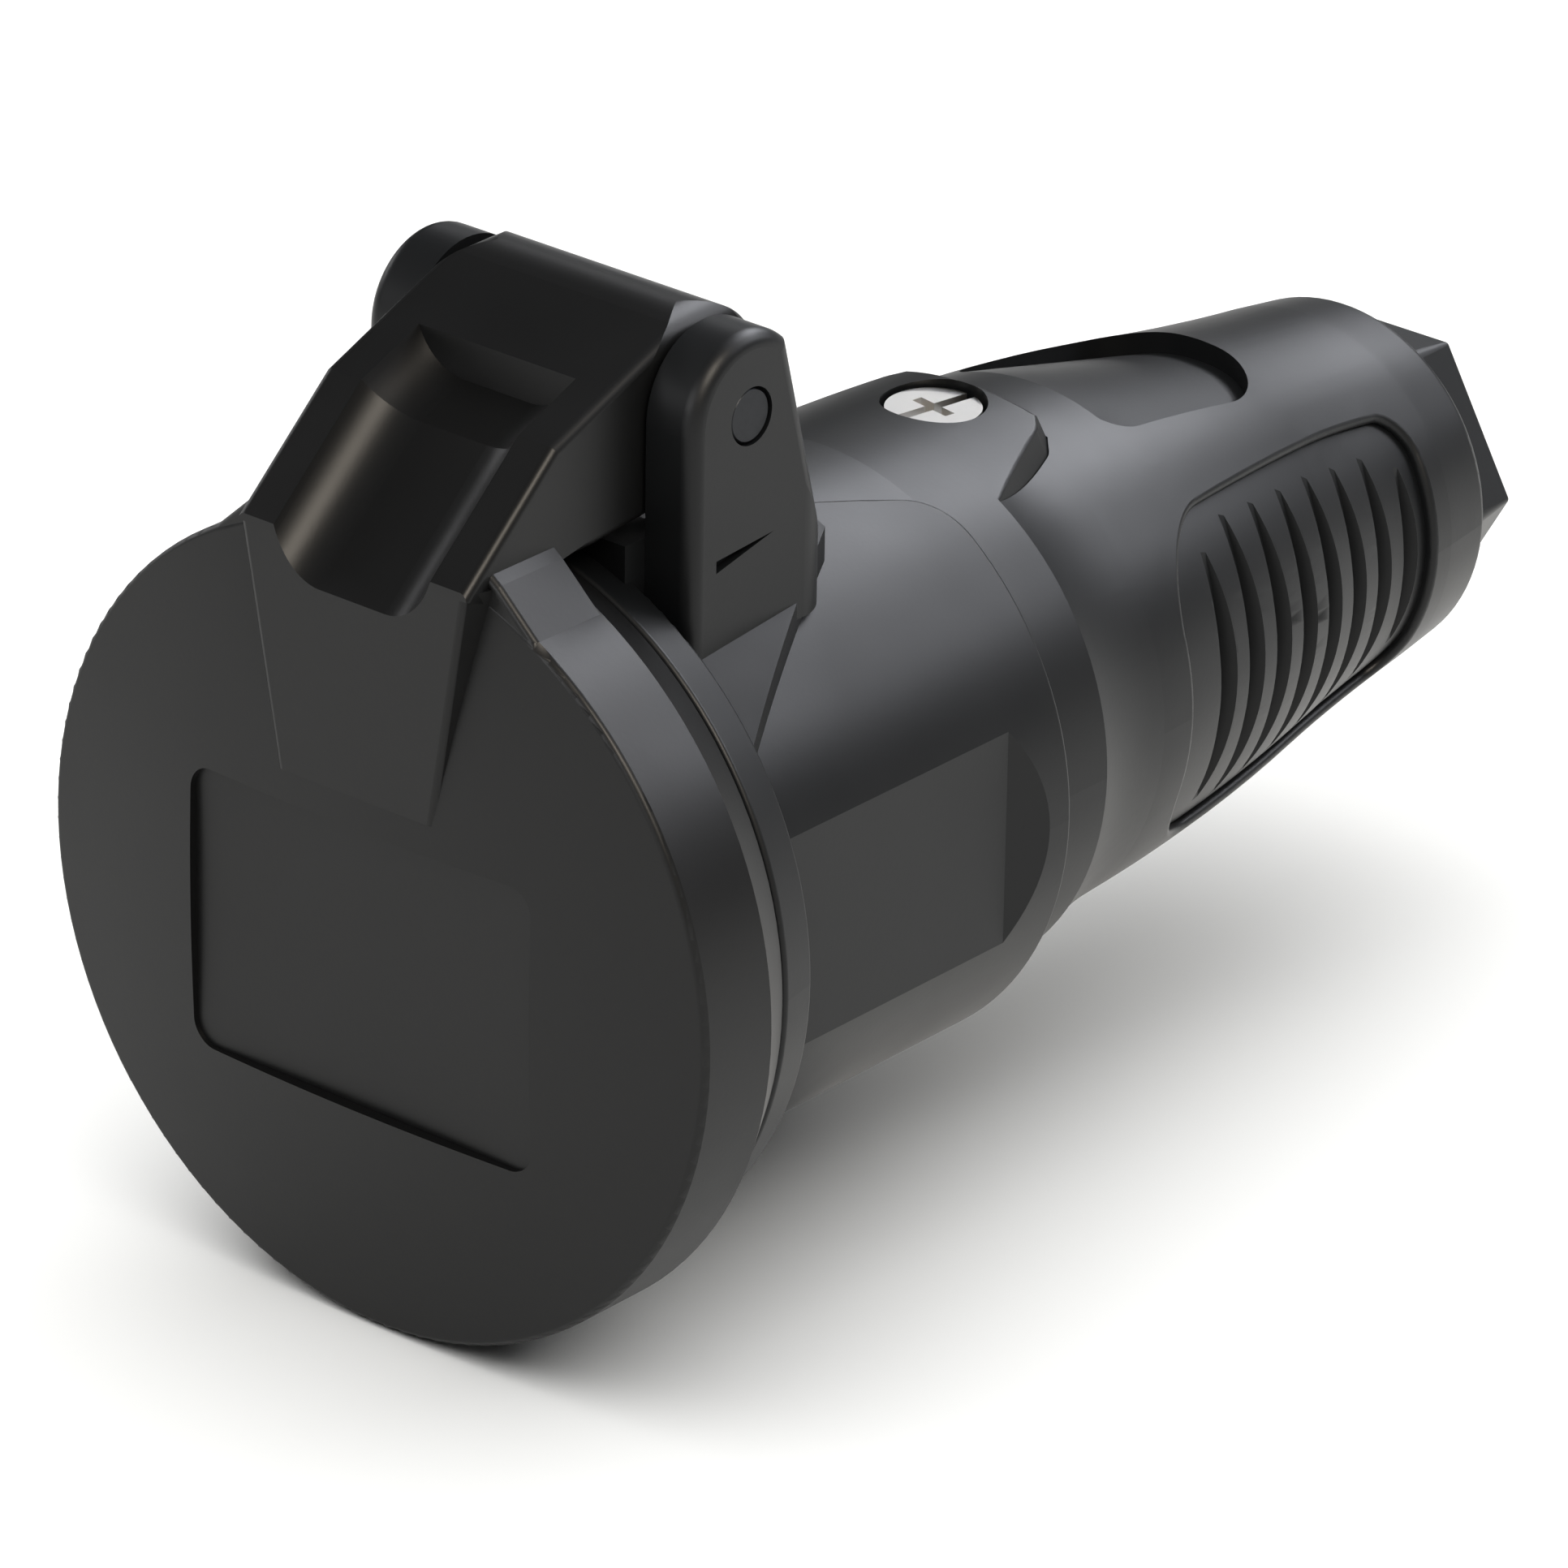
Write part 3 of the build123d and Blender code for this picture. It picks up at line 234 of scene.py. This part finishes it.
def tinted(tree, colour, factor, spread):
    """Colour that drifts a little lighter and darker with the factor."""
    mix = add_node(tree, "ShaderNodeMix", {
        MIX_FACTOR: factor,
        MIX_A: [c * (1 - spread) for c in colour[:3]] + [1.0],
        MIX_B: [c * (1 + spread) for c in colour[:3]] + [1.0],
    }, data_type="RGBA")
    return mix.outputs[MIX_RESULT]


def ranged(tree, value, low, high):
    """A noise value spread between two numbers."""
    return add_node(tree, "ShaderNodeMapRange", {
        "Value": value,
        "From Min": NOISE_LOW,
        "From Max": NOISE_HIGH,
        "To Min": low,
        "To Max": high,
    }).outputs["Result"]


def object_noise(tree, size_mm, detail=2.0, stretch=(1, 1, 1)):
    """Noise on Object coordinates, its features of a real size and drawn out along an axis."""
    place = add_node(tree, "ShaderNodeTexCoord").outputs["Object"]
    drawn_out = add_node(tree, "ShaderNodeMapping", {"Vector": place, "Scale": stretch})
    return add_node(tree, "ShaderNodeTexNoise", {
        "Vector": drawn_out.outputs["Vector"],
        "Scale": 1.0 / (size_mm * MM),
        "Detail": detail,
    }).outputs["Fac"]


def bumped(tree, shader, height, depth_mm, strength=0.4):
    """Drives the shader's normal with a height of a real depth."""
    bump = add_node(tree, "ShaderNodeBump", {
        "Height": height,
        "Strength": strength,
        "Distance": depth_mm * MM,
    })
    tree.links.new(bump.outputs["Normal"], shader.inputs["Normal"])


def moulded_plastic(name, colour, roughness, gloss):
    """Injection-moulded resin: a fine eroded grain spreads each reflection into a soft band."""
    material, tree, shader = new_material(name)
    flow = object_noise(tree, size_mm=16.0, detail=3.0)
    # The real grain is about 0.05 mm. It is drawn coarser so that it shows.
    grain = object_noise(tree, bpy.context.scene.coupler_sizes.plastic_grain / MM)
    tint = tinted(tree, colour, flow, spread=0.06)
    dulling = ranged(tree, flow, roughness - ROUGHNESS_DRIFT, roughness + ROUGHNESS_DRIFT)
    tree.links.new(tint, shader.inputs["Base Color"])
    tree.links.new(dulling, shader.inputs["Roughness"])
    shader.inputs["IOR"].default_value = 1.53
    shader.inputs["Specular IOR Level"].default_value = gloss
    bumped(tree, shader, grain, depth_mm=0.01)
    return material


def moulded_rubber(name, colour):
    """Moulded nitrile rubber: matt, with a faint bloom that lifts its edges."""
    material, tree, shader = new_material(name)
    bloom = object_noise(tree, size_mm=6.0, detail=4.0)
    tint = tinted(tree, colour, bloom, spread=0.2)
    dulling = ranged(tree, bloom, low=0.68, high=0.8)
    tree.links.new(tint, shader.inputs["Base Color"])
    tree.links.new(dulling, shader.inputs["Roughness"])
    shader.inputs["IOR"].default_value = 1.52
    shader.inputs["Sheen Weight"].default_value = 0.15
    bumped(tree, shader, object_noise(tree, size_mm=0.5), depth_mm=0.03)
    return material


def worked_metal(
    name, colour, roughness, line_mm, stretch=(1, 1, 1), depth_mm=0.006, spread=0.06
):
    """Metal with the fine lines of its working, which stretch can lay along one axis."""
    material, tree, shader = new_material(name)
    lines = object_noise(tree, line_mm, stretch=stretch)
    stain = object_noise(tree, size_mm=5.0, detail=3.0)
    tint = tinted(tree, colour, stain, spread)
    dulling = ranged(tree, lines, roughness - spread, roughness + spread)
    tree.links.new(tint, shader.inputs["Base Color"])
    tree.links.new(dulling, shader.inputs["Roughness"])
    shader.inputs["Metallic"].default_value = 1.0
    bumped(tree, shader, lines, depth_mm, strength=0.25)
    return material


def make_materials():
    """The finishes by the record's slot names."""
    colours = bpy.context.scene.coupler_colours
    return {
        # Glass-filled polyamide 6, moulded in an eroded tool: dark, with wide dull highlights
        "housing_plastic": moulded_plastic(
            "moulded_polyamide_shell", colours.shell, roughness=0.42, gloss=0.23
        ),
        # The same resin from a smoother tool, so tighter in its highlights; its colour is painted
        # a little darker than the shell's, as painted shade on the lid and its arm
        "lid_plastic": moulded_plastic(
            "moulded_polyamide_lid_painted_shade", colours.lid, roughness=0.4, gloss=0.23
        ),
        # Polycarbonate from a polished tool: dark, with clear highlights
        "insert_plastic": moulded_plastic(
            "polished_polycarbonate_insert", colours.insert, roughness=0.24, gloss=0.8
        ),
        # Nitrile rubber from a plain tool: dull, and a touch paler at its edges
        "seal_rubber": moulded_rubber("moulded_nitrile_rubber", colours.rubber),
        # Stamped brass keeps its rolling lines along Y: warm, with streaked highlights
        "brass": worked_metal(
            "stamped_brass", colours.brass, roughness=0.3, line_mm=0.5, stretch=(1, 0.12, 1)
        ),
        # Nickel over a turned blank: bright and even
        "nickel_steel": worked_metal(
            "nickel_plated_steel",
            colours.nickel,
            roughness=0.3,
            line_mm=0.35,
            depth_mm=0.0008,
            spread=0.025,
        ),
        # Black oxide over drawn steel: dark, with a satin sheen and lines along X
        "pin_steel": worked_metal(
            "black_oxide_steel_pin", colours.pin, roughness=0.4, line_mm=0.4, stretch=(0.15, 1, 1)
        ),
        # Bare drawn wire: grey, with sharp highlights
        "spring_steel": worked_metal(
            "drawn_spring_wire", colours.spring, roughness=0.28, line_mm=0.4
        ),
    }


MATERIALS = {}


# Pieces


def new_piece(name, bm):
    """Object from a finished bmesh."""
    mesh = bpy.data.meshes.new(name)
    bm.to_mesh(mesh)
    bm.free()
    obj = bpy.data.objects.new(name, mesh)
    bpy.context.scene.collection.objects.link(obj)
    return obj


def carry_over(node, slot):
    """Keeps a CAD node as it is, with its own finish."""
    for material_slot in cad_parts[node].material_slots:
        material_slot.material = MATERIALS[slot]


class COUPLER_OT_shells(bpy.types.Operator):
    """Front housing, lid frame and rear handle"""

    bl_idname = "coupler.shells"
    bl_label = "Shells"

    def execute(self, context):
        for node in ("front_housing", "lid_frame", "rear_handle"):
            carry_over(node, "housing_plastic")
        return {"FINISHED"}


class COUPLER_OT_lid(bpy.types.Operator):
    """Lid and its gasket"""

    bl_idname = "coupler.lid"
    bl_label = "Lid"

    def execute(self, context):
        carry_over("lid", "lid_plastic")
        carry_over("lid_gasket", "seal_rubber")
        return {"FINISHED"}


class COUPLER_OT_hinge(bpy.types.Operator):
    """Hinge pin and the spring that closes the lid"""

    bl_idname = "coupler.hinge"
    bl_label = "Hinge"

    def execute(self, context):
        carry_over("hinge_pin", "pin_steel")

        # The spring is a copy with its loose triangles merged
        bm = bmesh.new()
        bm.from_mesh(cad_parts["lid_spring"].data)
        bmesh.ops.remove_doubles(bm, verts=bm.verts, dist=MERGE_DISTANCE)
        spring = new_piece("lid_spring_wire", bm)
        for polygon in spring.data.polygons:
            polygon.use_smooth = True
        spring.data.set_sharp_from_angle(angle=radians(SPRING_SMOOTH_DEG))
        spring.data.materials.append(MATERIALS["spring_steel"])
        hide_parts("lid_spring")
        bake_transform(spring)
        return {"FINISHED"}


class COUPLER_OT_contacts(bpy.types.Operator):
    """Insert, cover, contacts and terminals"""

    bl_idname = "coupler.contacts"
    bl_label = "Contacts"

    def execute(self, context):
        for node in ("socket_insert", "insert_cover"):
            carry_over(node, "insert_plastic")
        for node in ("line_contact_left", "line_contact_right", "earth_strip"):
            carry_over(node, "brass")
        for node in ("terminal_block_left", "terminal_block_right", "terminal_block_earth"):
            carry_over(node, "brass")
        for node in ("terminal_screws", "cover_screws"):
            carry_over(node, "nickel_steel")
        return {"FINISHED"}


class COUPLER_OT_housing_screw(bpy.types.Operator):
    """Housing screw, its nut and the seal between the shells"""

    bl_idname = "coupler.housing_screw"
    bl_label = "Housing screw"

    def execute(self, context):
        carry_over("housing_screw", "nickel_steel")
        carry_over("screw_nut", "brass")
        carry_over("body_seal", "seal_rubber")
        return {"FINISHED"}


class COUPLER_OT_gland(bpy.types.Operator):
    """Gland nut with its washer, cage and seal"""

    bl_idname = "coupler.gland"
    bl_label = "Gland"

    def execute(self, context):
        carry_over("gland_nut", "housing_plastic")
        carry_over("clamping_cage", "insert_plastic")
        carry_over("gland_seal", "seal_rubber")
        carry_over("slip_washer", "nickel_steel")
        return {"FINISHED"}


# Stage


def add_softbox(name, azimuth, elevation, distance, size, power, colour, light):
    """Rectangular lamp aimed at the object, for either its diffuse or its glossy light."""
    lamp = bpy.data.lights.new(name, "AREA")
    lamp.shape = "RECTANGLE"
    lamp.size, lamp.size_y = size
    lamp.energy = power
    lamp.color = linear(colour)[:3]
    out = Vector((
        sin(radians(azimuth)) * cos(radians(elevation)),
        cos(radians(azimuth)) * cos(radians(elevation)),
        sin(radians(elevation)),
    ))
    obj = bpy.data.objects.new(name, lamp)
    obj.location = LAMP_AIM + out * distance
    obj.rotation_euler = out.to_track_quat("Z", "Y").to_euler()
    obj.visible_camera = False
    obj.visible_glossy = light == "glossy"
    obj.visible_diffuse = light == "diffuse"
    bpy.context.scene.collection.objects.link(obj)
    return obj


def add_world(scene):
    """Faint even light from all sides."""
    scene.world = bpy.data.worlds.new("studio")
    scene.world.use_nodes = True
    background = scene.world.node_tree.nodes["Background"]
    background.inputs["Color"].default_value = linear("#ffffff")
    background.inputs["Strength"].default_value = WORLD_STRENGTH


def add_floor(scene, low):
    """Matt floor, just under the coupler's lowest point."""
    bm = bmesh.new()
    bmesh.ops.create_grid(bm, x_segments=1, y_segments=1, size=scene.coupler_sizes.floor_half)
    bmesh.ops.translate(bm, verts=bm.verts, vec=(0, 0, low - FLOOR_GAP))
    floor = new_piece("floor", bm)
    # Matt vinyl, rolled out: pale, with no highlight
    material, _, shader = new_material("matt_vinyl_floor")
    shader.inputs["Base Color"].default_value = scene.coupler_colours.floor
    shader.inputs["Roughness"].default_value = 0.9
    floor.data.materials.append(material)


def add_camera(scene):
    """Camera at the photograph's place, with its focal length."""
    camera = bpy.data.cameras.new("photo_camera")
    camera.sensor_width = CAMERA_SENSOR_MM
    camera.lens = CAMERA_LENS_MM
    camera.clip_start, camera.clip_end = CAMERA_CLIP
    back = CAMERA_RIGHT.cross(CAMERA_UP).normalized()
    turn = Matrix((CAMERA_RIGHT, back.cross(CAMERA_RIGHT), back)).transposed().to_4x4()
    obj = bpy.data.objects.new("photo_camera", camera)
    obj.matrix_world = Matrix.Translation(CAMERA_PLACE) @ turn
    scene.collection.objects.link(obj)
    scene.camera = obj


class COUPLER_OT_stage(bpy.types.Operator):
    """Floor, soft studio light and the camera"""

    bl_idname = "coupler.stage"
    bl_label = "Stage"

    def execute(self, context):
        scene = context.scene
        scene.view_settings.view_transform = "Standard"
        low = cad_box[0][2]
        add_world(scene)
        add_floor(scene, low)
        lamps = {row[0]: add_softbox(*row) for row in SOFTBOXES}
        lamps["table_glow"].location = (*GLOW_PLACE, low + GLOW_LIFT)
        add_camera(scene)
        return {"FINISHED"}


class COUPLER_PT_panel(bpy.types.Panel):
    """Sizes, colours and the steps of the coupler"""

    bl_idname = "COUPLER_PT_panel"
    bl_label = "Coupler"
    bl_space_type = "VIEW_3D"
    bl_region_type = "UI"
    bl_category = "Coupler"

    def draw(self, context):
        layout = self.layout
        for group in (context.scene.coupler_sizes, context.scene.coupler_colours):
            for key in group.bl_rna.properties.keys():
                if key not in ("rna_type", "name"):
                    layout.prop(group, key)
        for operator in OPERATORS:
            layout.operator(operator.bl_idname)


OPERATORS = (
    COUPLER_OT_shells,
    COUPLER_OT_lid,
    COUPLER_OT_hinge,
    COUPLER_OT_contacts,
    COUPLER_OT_housing_screw,
    COUPLER_OT_gland,
    COUPLER_OT_stage,
)
CLASSES = (CouplerSizes, CouplerColours, *OPERATORS, COUPLER_PT_panel)


def register():
    for cls in CLASSES:
        bpy.utils.register_class(cls)
    bpy.types.Scene.coupler_sizes = PointerProperty(type=CouplerSizes)
    bpy.types.Scene.coupler_colours = PointerProperty(type=CouplerColours)


def unregister():
    del bpy.types.Scene.coupler_colours
    del bpy.types.Scene.coupler_sizes
    for cls in reversed(CLASSES):
        bpy.utils.unregister_class(cls)


def main():
    register()
    MATERIALS.update(make_materials())
    bpy.ops.coupler.shells()
    bpy.ops.coupler.lid()
    bpy.ops.coupler.hinge()
    bpy.ops.coupler.contacts()
    bpy.ops.coupler.housing_screw()
    bpy.ops.coupler.gland()
    bpy.ops.coupler.stage()


if __name__ == "__main__":
    main()
